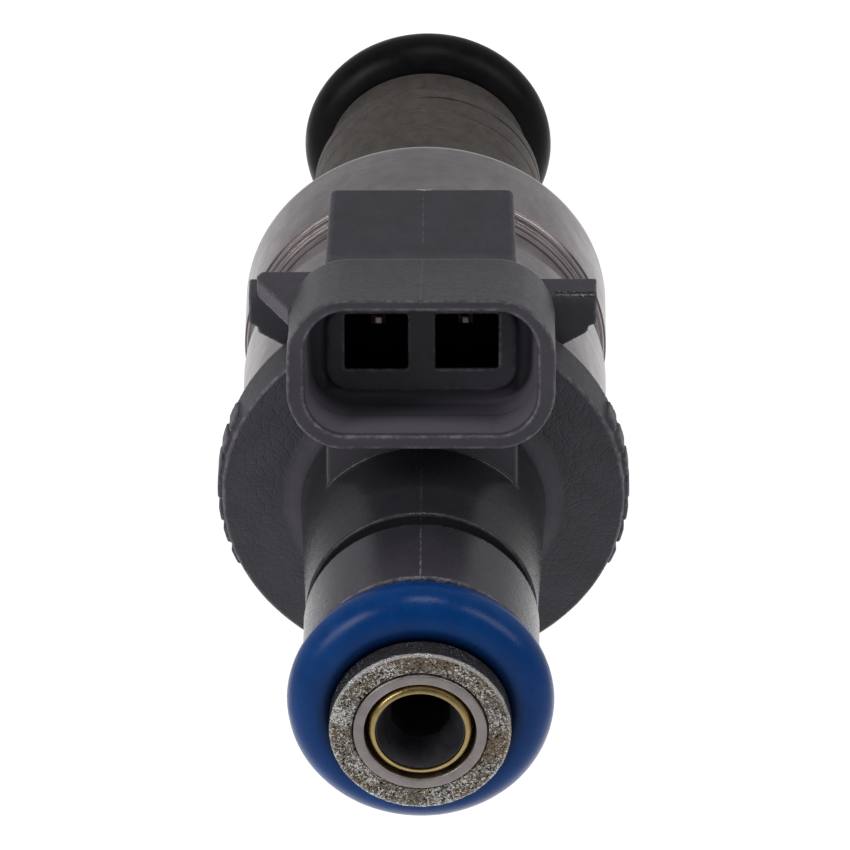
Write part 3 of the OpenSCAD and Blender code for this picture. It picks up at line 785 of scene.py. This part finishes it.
def wings(x, y, z):
    """Guides for the mating plug on the riser's sides, with a gusset below each."""
    side = np.abs(x)
    outline = inset([(3.0, WING_OUT), (9.75, WING_OUT), (9.75, WING_IN - 0.2),
                     (9.3, WING_IN), (9.25, WING_IN + 0.36), (7.4, WING_IN + 1.5),
                     (3.0, WING_IN + 3.0)], 0.1)
    plate = slab(polygon_distance(side, y, outline) - 0.1, z, WING_LOW, WING_HIGH, 0.12)
    front = rounded_corner(WING_OUT - y, z - WING_HIGH, 0.5)
    return np.maximum(plate, front)


def connector(x, y, z):
    """Riser on the case, web to the neck, shroud, wings and latch ramp."""
    u, v, w = plug_frame(x, y, z)
    draft = 0.2 * np.clip((z - RISER_LOW) / 9, 0, 1)
    flat = soft_rect(x - 0.1, y + RISER_OUT - 3.3, 5.2 + draft, 3.3, 0.38)
    riser = slab(flat, z, RISER_LOW, FLANGE_TOP, 0.16)
    web = block(x, y, z, (-5.3, -8.2, FLANGE_TOP - 1.5), (5.3, 0, WEB_TOP), 0.12)
    outer = soft_rect(u, v, SHROUD_W / 2, SHROUD_H / 2, 3.3)
    shroud = slab(outer, w, -SHROUD_LEN, 0, 0.14)
    wedge = inset([(4.0, 35.4), (8.96, 35.4), (9.28, 35.88), (9.22, 36.42), (7.47, 39.56),
                   (4.0, 39.56)], 0.06)
    ramp = slab(polygon_distance(x, z, wedge) - 0.06, y, -12.2, -11.1, 0.06)
    shape = join(riser, shroud, 0.16)
    shape = join(shape, wings(x, y, z), 0.1)
    shape = join(shape, ramp, 0.06)
    shape = join(shape, web, 0.25)
    r = np.sqrt(x * x + y * y)
    case = np.maximum(r - UPPER_CASE_R - 0.01, z - CASE_TOP)
    return np.maximum(np.maximum(shape, -case), TUBE_R + 0.02 - r)


def cavity(x, y, z):
    """The plug's mouth, the moat round the terminal island, and the two pockets."""
    u, v, w = plug_frame(x, y, z)
    half_w, half_h = SHROUD_W / 2 - 0.98, (SHROUD_H - 1.45) / 2
    middle = v + 0.07
    draft = 0.05 * np.clip(-w, 0, 9)
    mouth = slab(soft_rect(u, middle, half_w - draft, half_h - draft, 2.3), w, -6.6, 4, 0.6)
    flare = np.clip(w + 0.35, 0, 2)
    mouth = mouth - 0.5 * flare * flare
    island = slab(soft_rect(u, middle + 0.2, 5.3, 2.5, 1.5), w, -12, -5.4, 0.3)
    hollow = carve(mouth, island, 0.6)
    side = np.abs(u) - TERMINAL_X - 0.1
    pocket = slab(soft_rect(side, v + 0.65, 1.75, 1.55, 0.12), w, -9.9, -4, 0.05)
    return join(hollow, pocket, 0.12)


def overmold_distance(x, y, z):
    shape = join(round_body(x, y, z), connector(x, y, z), 0.2)
    return carve(shape, cavity(x, y, z), 0.14)


def gradient(distance, p, step=0.02):
    """The distance at each point, and the direction in which it grows."""
    here = distance(*p.T)
    slope = np.stack([distance(*(p + d).T) - distance(*(p - d).T)
                      for d in np.eye(3, dtype=np.float32) * step], 1) / (2 * step)
    return here, slope


def onto_surface(distance, p, rounds):
    for _ in range(rounds):
        here, slope = gradient(distance, p)
        length = np.maximum((slope ** 2).sum(1), 0.25)
        p = p - np.clip(here / length, -0.2, 0.2)[:, None] * slope
    return p


def skin(distance, low, high, cell):
    """Points and quads of the surface distance = 0, one point in each cell it crosses."""
    axes = [np.arange(a, b + cell, cell, dtype=np.float32) for a, b in zip(low, high)]
    solid = np.empty([len(a) for a in axes], bool)
    for start in range(0, len(axes[0]), 24):
        part = axes[0][start:start + 24]
        grid = np.meshgrid(part, axes[1], axes[2], indexing="ij")
        solid[start:start + 24] = distance(*grid) < 0
    corners = [solid[i:i + solid.shape[0] - 1, j:j + solid.shape[1] - 1,
                     k:k + solid.shape[2] - 1]
               for i in (0, 1) for j in (0, 1) for k in (0, 1)]
    filled = sum(c.astype(np.int8) for c in corners)
    crossed = (filled > 0) & (filled < 8)
    number = np.full(crossed.shape, -1, np.int32)
    cells = np.argwhere(crossed)
    number[crossed] = np.arange(len(cells))
    points = np.array(low, np.float32) + (cells + 0.5) * cell
    quads = []
    for axis in range(3):
        one, two = [a for a in range(3) if a != axis]
        change = np.diff(solid.astype(np.int8), axis=axis)
        inner = [slice(None)] * 3
        inner[one] = slice(1, -1)
        inner[two] = slice(1, -1)
        change = change[tuple(inner)]
        at = np.argwhere(change != 0)
        way = change[change != 0]
        at[:, one] += 1
        at[:, two] += 1
        ring = []
        for d1, d2 in ((0, 0), (1, 0), (1, 1), (0, 1)):
            cell_at = at.copy()
            cell_at[:, one] -= d1
            cell_at[:, two] -= d2
            ring.append(number[tuple(cell_at.T)])
        ring = np.stack(ring, 1)
        flip = (way > 0) if axis != 1 else (way < 0)
        ring[flip] = ring[flip][:, ::-1]
        quads.append(ring)
    return points.astype(np.float32), np.concatenate(quads)


def relaxed(points, quads, distance, rounds):
    """Evens out the points' spacing and keeps them on the surface."""
    a = quads.ravel()
    b = np.roll(quads, 1, axis=1).ravel()
    for _ in range(rounds):
        points = onto_surface(distance, points, 2)
        total = np.zeros_like(points)
        count = np.bincount(a, minlength=len(points)) + np.bincount(b, minlength=len(points))
        for axis in range(3):
            total[:, axis] = (np.bincount(a, points[b, axis], len(points))
                              + np.bincount(b, points[a, axis], len(points)))
        points = points * 0.5 + 0.5 * total / np.maximum(count, 1)[:, None]
    return onto_surface(distance, points.astype(np.float32), 3)


def make_overmold():
    cell = 0.15
    low = low_mm("overmold") - Vector((0.5,) * 3)
    high = high_mm("overmold") + Vector((0.5,) * 3)
    points, quads = skin(overmold_distance, low, high, cell)
    points = relaxed(points, quads, overmold_distance, 3)
    here, slope = gradient(overmold_distance, points)
    reach = 0.12
    spread = sum(overmold_distance(*(points + d).T) + overmold_distance(*(points - d).T)
                 for d in np.eye(3, dtype=np.float32) * reach) - 6 * here
    edge = np.clip(spread / reach ** 2 / 5, 0, 1).astype(np.float32)
    mesh = bpy.data.meshes.new("overmold_skin")
    mesh.from_pydata((points * MM).tolist(), [], quads.tolist())
    mesh.shade_smooth()
    layer = mesh.attributes.new("edge", "FLOAT", "POINT")
    layer.data.foreach_set("value", edge)
    normals = slope / np.maximum(np.linalg.norm(slope, axis=1), 1e-6)[:, None]
    mesh.normals_split_custom_set_from_vertices(normals.tolist())
    return add_piece("overmold_skin", mesh, "nylon_grey", "injector", "overmold")


# ---------------------------------------------------------------- round pieces

def make_lower_case():
    """Steel cup with a rolled edge: stepped rings where it was crimped on the can."""
    z = LOWER_CASE_TOP
    roll = [(LOWER_CASE_R, z - 1.15, 0.12), (LOWER_CASE_R - 0.13, z - 1.0, 0.05),
            (LOWER_CASE_R - 0.17, z - 0.82, 0.03), (LOWER_CASE_R - 0.30, z - 0.80, 0.03),
            (LOWER_CASE_R - 0.32, z - 0.62, 0.03), (LOWER_CASE_R - 0.42, z - 0.60, 0.03),
            (LOWER_CASE_R - 0.44, z - 0.42, 0.03), (LOWER_CASE_R - 0.52, z - 0.40, 0.03),
            (LOWER_CASE_R - 0.56, z - 0.20, 0.04), (LOWER_CASE_R - 0.66, z, 0.04)]
    corners = ([(VALVE_BODY_R + 0.01, LOWER_CASE_LOW, 0.1), (LOWER_CASE_R, LOWER_CASE_LOW, 0.25)]
               + roll + [(WAIST_R + 0.01, z, 0), (WAIST_R + 0.01, CAN_LOW, 0),
                         (VALVE_BODY_R + 0.01, CAN_LOW, 0)])
    turned("lower_case_cup", rounded_outline(corners), "case_steel", "lower_case", around=360)


def make_upper_case():
    step = 0.3
    corners = [(CAN_BORE_R, CAN_LOW, 0), (WAIST_R, CAN_LOW, 0.1), (WAIST_R, WAIST_TOP, 0.15),
               (UPPER_CASE_R - step, WAIST_TOP + 0.02, 0.1), (UPPER_CASE_R, WAIST_TOP + step, 0.2),
               (UPPER_CASE_R, CASE_TOP, 0.05), (CAN_BORE_R, CASE_TOP, 0)]
    turned("upper_case_can", rounded_outline(corners), "case_steel", "upper_case", around=360)


def snap_groove(r):
    """Outline of the groove in the valve body that the tip cap's bead snaps into."""
    low, high, deep = -3.8, -3.2, 0.2
    return [(r, low, 0), (r - deep, low + 0.1, 0), (r - deep, high - 0.1, 0), (r, high, 0)]


def make_valve_body():
    """Turned tube with a nose step and shallow tool rings."""
    nose_r, nose_top, chamfer = 5.95, 4.2, 0.9
    groove_top = RING_R + 0.1
    seat_r = RING_MID_R - RING_R - 0.02
    wide = VALVE_BODY_R
    corners = ([(3.0, VALVE_BODY_LOW, 0), (seat_r, VALVE_BODY_LOW, 0.1)] + snap_groove(seat_r)
               + [(seat_r, groove_top, 0.1), (nose_r, groove_top, 0.15),
                  (nose_r, nose_top, 0.15), (wide - 0.03, nose_top + chamfer, 0.3)])
    for z, deep in ((6.0, 0.05), (7.65, 0.04), (9.6, 0.03)):
        corners += [(wide - 0.03, z - 0.05, 0.02), (wide - 0.03 - deep, z, 0.02),
                    (wide - 0.03 - deep, z + 0.08, 0.02), (wide - 0.03, z + 0.13, 0.02)]
    corners += [(wide, 12.0, 0.2), (wide, VALVE_BODY_TOP, 0.05), (4.0, VALVE_BODY_TOP, 0),
                (4.0, 17, 0), (3.65, 17, 0), (3.65, 12, 0), (3.0, 12, 0)]
    turned("valve_body_tube", rounded_outline(corners), "phosphate_steel", "valve_body",
           around=300)


def make_tip_cap():
    """Plastic cap on the nozzle: a plain nose, and a shoulder that holds the O-ring on."""
    nose_r, hole_r, shoulder = 4.3, 2.6, -2.4
    seat_r = RING_MID_R - RING_R - 0.02
    groove = snap_groove(seat_r)
    corners = ([(hole_r, TIP_LOW, 0.15), (nose_r, TIP_LOW, 0.4), (nose_r, groove[-1][1], 0.2),
                (TIP_R, shoulder, 0.2), (TIP_R, TIP_TOP, 0.1), (seat_r, TIP_TOP, 0.05)]
               + groove[::-1]
               + [(seat_r, VALVE_BODY_LOW, 0), (hole_r, VALVE_BODY_LOW, 0.1)])
    turned("tip_cap_ring", rounded_outline(corners), "plastic_black", "tip_cap")


def make_o_ring(name, z, slot, node):
    """Cord ring with the thin moulding line on its inner and outer side."""
    steps = 72
    outline = []
    for k in range(steps):
        a = 2 * math.pi * k / steps
        r = RING_R - 0.012 + 0.012 * math.exp(-((math.sin(a) / 0.06) ** 2))
        outline.append((RING_MID_R + r * math.cos(a), z + r * math.sin(a)))

    def wander(point):
        lump = noise.noise(point * 0.35 + Vector((z, 0, 0)))
        return point + Vector((point.x, point.y, 0)).normalized() * lump * 0.012

    turned(name, outline, slot, node, wander=wander, crease=80)


def make_inlet_tube():
    corners = [(TUBE_BORE_R, TUBE_LOW, 0), (TUBE_R, TUBE_LOW, 0.1), (TUBE_R, TUBE_TOP, 0.1),
               (TUBE_BORE_R + 0.02, TUBE_TOP, 0.08), (TUBE_BORE_R, TUBE_TOP - 0.15, 0)]
    turned("inlet_tube_wall", rounded_outline(corners), "bright_steel", "inlet_tube",
           around=300, crease=60)


def make_retainer_ring():
    """Pressed powder-metal ring: its skin is rough, so every point is moved a little."""
    corners = [(TUBE_R + 0.05, RETAINER_LOW, 0.05), (RETAINER_R, RETAINER_LOW, 0.1),
               (RETAINER_R, RETAINER_TOP, 0.14), (TUBE_R + 0.12, RETAINER_TOP, 0.05),
               (TUBE_R + 0.05, RETAINER_TOP - 0.15, 0.05)]

    def wander(point):
        rough = noise.fractal(point * 2.6, 0.8, 2.2, 5)
        pits = max(0.0, noise.noise(point * 4.2 + Vector((5, 9, 2))) - 0.28)
        out = Vector((point.x, point.y, 0)).normalized()
        lift = 1.0 if point.z > RETAINER_TOP - 0.1 else 0.2
        depth = min(0.0, 0.022 * rough - 0.02) - 0.10 * pits
        return point + Vector((0, 0, 1)) * depth * lift + out * depth * 0.8

    outline = finer(rounded_outline(corners), 0.06)
    turned("retainer_ring_rough", outline, "sintered_steel", "retainer_ring",
           around=600, wander=wander, crease=180)


LIP_IN, LIP_OUT = 2.47, 2.82


def make_filter_collar():
    """Brass sleeve whose mouth is rolled inwards to a rounded lip."""
    roll_r = LIP_OUT - LIP_IN
    corner = BRASS_TOP - roll_r
    roll = [(LIP_IN + roll_r * math.cos(a), corner + roll_r * math.sin(a))
            for a in (math.radians(9 * k) for k in range(11))]
    outline = ([(2.7, BRASS_LOW), (TUBE_BORE_R - 0.01, BRASS_LOW),
                (TUBE_BORE_R - 0.01, BRASS_TOP - 1.4), (LIP_OUT + 0.03, corner - 0.3)]
               + roll + [(LIP_IN, corner), (2.7, BRASS_TOP - 1.4)])
    turned("filter_collar_rolled", outline, "brass", "filter_collar", crease=50)


def make_filter_frame():
    """Dark funnel in the collar; its throat is moulded with flat sides."""
    throat, low = 1.68, 55.0
    bottom = low_mm("filter_frame").z
    corners = [(throat, low, 0), (2.6, low, 0), (2.69, BRASS_LOW, 0),
               (2.69, BRASS_TOP - 1.4, 0), (LIP_IN - 0.01, BRASS_TOP - LIP_OUT + LIP_IN, 0),
               (LIP_IN - 0.01, FILTER_TOP, 0.03), (LIP_IN - 0.1, FILTER_TOP, 0.03),
               (throat, FILTER_TOP - 1.9, 0.12)]

    def wander(point):
        r = math.hypot(point.x, point.y)
        if r > 2.3:
            return point
        turn = math.atan2(point.y, point.x)
        facet = math.pi / 5
        off = (turn + facet / 2) % facet - facet / 2
        flat = throat * math.cos(facet / 2) / math.cos(off)
        share = min(1.0, max(0.0, (2.3 - r) / (2.3 - throat)))
        scale = 1 + share * (flat / throat - 1)
        return Vector((point.x * scale, point.y * scale, point.z))

    turned("filter_frame_funnel", rounded_outline(corners), "filter_plastic", "filter_frame",
           wander=wander, around=240)
    cage = [(0.6, bottom, 0), (2.4, bottom, 0.2), (2.4, bottom + 1, 0.1), (0.6, bottom + 1, 0)]
    turned("filter_frame_foot", rounded_outline(cage), "filter_plastic")
    for number in range(3):
        angle = 2 * math.pi * number / 3
        rib = ribbed_bar(2.1, 2.4, 0.7, bottom + 0.5, low + 0.5)
        rib.transform(Matrix.Rotation(angle, 4, "Z"))
        add_piece(f"filter_frame_rib_{number}", rib, "filter_plastic", "injector")


def ribbed_bar(near, far, width, low, high):
    """Upright bar beside the axis with bevelled edges."""
    bm = bmesh.new()
    bmesh.ops.create_cube(bm, size=1)
    for v in bm.verts:
        v.co = Vector(((near + far) / 2 + v.co.x * (far - near), v.co.y * width,
                       (low + high) / 2 + v.co.z * (high - low))) * MM
    bmesh.ops.bevel(bm, geom=bm.edges[:], offset=0.06 * MM, segments=2, affect="EDGES")
    mesh = bpy.data.meshes.new("bar")
    bm.to_mesh(mesh)
    bm.free()
    return mesh


def bevel_cad(node, width, segments=2):
    """A copy of a CAD node's mesh with softened edges, which replaces the node."""
    mesh = nodes[node].data.copy()
    mesh.materials.clear()
    bm = bmesh.new()
    bm.from_mesh(mesh)
    bmesh.ops.remove_doubles(bm, verts=bm.verts[:], dist=0.002 * MM)
    sharp = [e for e in bm.edges if len(e.link_faces) == 2
             and e.calc_face_angle(0) > math.radians(30)]
    bmesh.ops.bevel(bm, geom=sharp, offset=width * MM, segments=segments, affect="EDGES",
                    clamp_overlap=True)
    bm.to_mesh(mesh)
    bm.free()
    mesh.shade_smooth()
    mesh.set_sharp_from_angle(angle=math.radians(35))
    return mesh


def make_terminals():
    for node in ("terminal_left", "terminal_right"):
        add_piece(node + "_blade", bevel_cad(node, 0.04), "terminal_alloy", "injector", node)


def make_return_spring():
    """The return spring: a copy of its CAD mesh, smooth shaded, on a mesh of its own."""
    mesh = nodes["return_spring"].data.copy()
    mesh.materials.clear()
    mesh.shade_smooth()
    spring = add_piece("return_spring_wire", mesh, "spring_steel", "injector", "return_spring")
    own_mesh(spring)


def paint_cad_nodes():
    """Nodes that keep their CAD shape get the same materials as the rest."""
    slots = {s["node"]: s["material_slot"] for s in frame["record"]["subparts"]}
    for name, node in nodes.items():
        node.data.materials.clear()
        node.data.materials.append(MATERIALS[slots[name]])


# ---------------------------------------------------------------- studio

def area_light(name, place, size, power):
    """A soft light, size (across, up) in metres, that faces the injector's middle."""
    data = bpy.data.lights.new(name, "AREA")
    data.shape = "RECTANGLE"
    data.size, data.size_y = size
    data.energy = power
    light = bpy.data.objects.new(name, data)
    place = Vector(place)
    light.location = MIDDLE + place
    light.rotation_euler = (-place).to_track_quat("-Z", "Y").to_euler()
    bpy.context.scene.collection.objects.link(light)
    return light


def glow(p, direction):
    """White card behind the injector, which falls away to a dim room round it."""
    tilt = 0.5494
    behind = (0, math.sin(tilt), -math.cos(tilt))
    upward = (0, -math.cos(tilt), -math.sin(tilt))

    def along(axis):
        node = p.add("ShaderNodeVectorMath", operation="DOT_PRODUCT")
        p.join(direction, node.inputs[0])
        p.join(axis, node.inputs[1])
        return node.outputs["Value"]

    facing, rise = along(behind), along(upward)
    card = p.math("SUBTRACT", facing, p.math("MULTIPLY", rise, 0.35))
    room = p.math("ADD", p.ramp(facing, -0.5, 0.6, 0.06, 0.32),
                  p.ramp(rise, -0.9, 0.1, 0.34, 0))
    return p.math("ADD", room, p.ramp(card, 0.55, 1.0, 0, 0.74))


def make_floor():
    mesh = bpy.data.meshes.new("floor")
    half, level = 4.0, -0.6
    mesh.from_pydata([(-half, -half, level), (half, -half, level), (half, half, level),
                      (-half, half, level)], [], [(0, 1, 2, 3)])
    floor = bpy.data.objects.new("floor", mesh)
    bpy.context.scene.collection.objects.link(floor)
    # The floor glows: its colour is emission in the pattern of glow(), a white card behind the
    # injector and a dim room round it, and it lights the injector like a lamp.
    glowing_floor = Paint("glowing_floor")
    offset = glowing_floor.add("ShaderNodeVectorMath", operation="SUBTRACT")
    glowing_floor.join(glowing_floor.here, offset.inputs[0])
    glowing_floor.join(tuple(MIDDLE / MM), offset.inputs[1])
    unit = glowing_floor.add("ShaderNodeVectorMath", operation="NORMALIZE")
    glowing_floor.join(offset.outputs[0], unit.inputs[0])
    glowing_floor.set(Base_Color=(0.02, 0.02, 0.02), Roughness=1.0, Specular_IOR_Level=0.0,
              Emission_Strength=1.0)
    glowing_floor.join(glow(glowing_floor, unit.outputs[0]), glowing_floor.bsdf.inputs["Emission Color"])
    mesh.materials.append(glowing_floor.mat)


def make_world():
    world = bpy.data.worlds.new("studio")
    world.use_nodes = True
    bpy.context.scene.world = world
    p = Paint.__new__(Paint)
    p.tree = world.node_tree
    coord = p.add("ShaderNodeTexCoord")
    back = p.tree.nodes["Background"]
    p.join(glow(p, coord.outputs["Generated"]), back.inputs["Color"])


def make_studio():
    make_floor()
    make_world()
    far = 0.6
    area_light("top", Vector((-0.04, -0.99, 0.12)) * far, (0.20, 0.13), 0.38)
    area_light("left", Vector((0.77, -0.49, 0.40)) * far, (0.40, 0.19), 0.80)
    area_light("right", Vector((-0.76, -0.60, 0.25)) * far, (0.44, 0.16), 0.50)
    bpy.context.scene.view_settings.view_transform = "Standard"


make_camera()
paint_cad_nodes()
make_overmold()
make_lower_case()
make_upper_case()
make_valve_body()
make_tip_cap()
make_o_ring("lower_o_ring_cord", 0.0, "rubber_black", "lower_o_ring")
make_o_ring("upper_o_ring_cord", UPPER_RING_Z, "rubber_blue", "upper_o_ring")
make_inlet_tube()
make_retainer_ring()
make_filter_collar()
make_filter_frame()
make_terminals()
make_return_spring()
make_studio()
